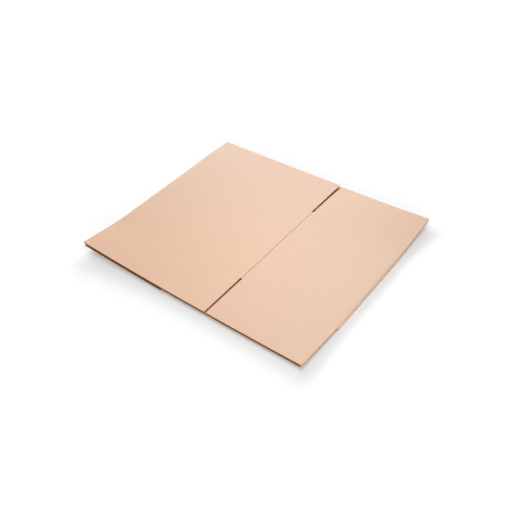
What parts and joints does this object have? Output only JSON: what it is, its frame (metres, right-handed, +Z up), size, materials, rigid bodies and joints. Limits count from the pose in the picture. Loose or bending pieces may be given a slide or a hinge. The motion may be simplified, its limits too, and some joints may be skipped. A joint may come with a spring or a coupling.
{
  "type": "flattened cardboard box",
  "caption": "Corrugated shipping box knocked down flat: a creased and glued sleeve pressed together, with slotted end flaps that swing up at their scores.",
  "frame": {"origin": "centre of the flat sheet, on the surface it lies on", "axes": "+X across the panels, +Y along the box's height and the flutes, from front to back, +Z up"},
  "size_m": [0.75, 0.642, 0.0247],
  "materials": {
    "corrugated_board": "matt brown kraft liner"
  },
  "bodies": {
    "folded_blank": {"folded_blank": "corrugated_board"},
    "front_long_flap": {"front_long_flap": "corrugated_board"},
    "front_short_flap": {"front_short_flap": "corrugated_board"},
    "back_long_flap": {"back_long_flap": "corrugated_board"},
    "back_short_flap": {"back_short_flap": "corrugated_board"}
  },
  "joints": [
    {"name": "front_long_hinge", "type": "hinge", "parent": "folded_blank", "child": "front_long_flap", "pos_m": [-0.15, -0.175, 0.0117], "axis": [-1, 0, 0], "range_deg": [0, 170]},
    {"name": "front_short_hinge", "type": "hinge", "parent": "folded_blank", "child": "front_short_flap", "pos_m": [0.225, -0.175, 0.01013], "axis": [-0.9999, 0, 0.0105], "range_deg": [0, 170]},
    {"name": "back_long_hinge", "type": "hinge", "parent": "folded_blank", "child": "back_long_flap", "pos_m": [-0.15, 0.175, 0.0117], "axis": [1, 0, 0], "range_deg": [0, 170]},
    {"name": "back_short_hinge", "type": "hinge", "parent": "folded_blank", "child": "back_short_flap", "pos_m": [0.225, 0.175, 0.01013], "axis": [0.9999, 0, -0.0105], "range_deg": [0, 170]}
  ]
}
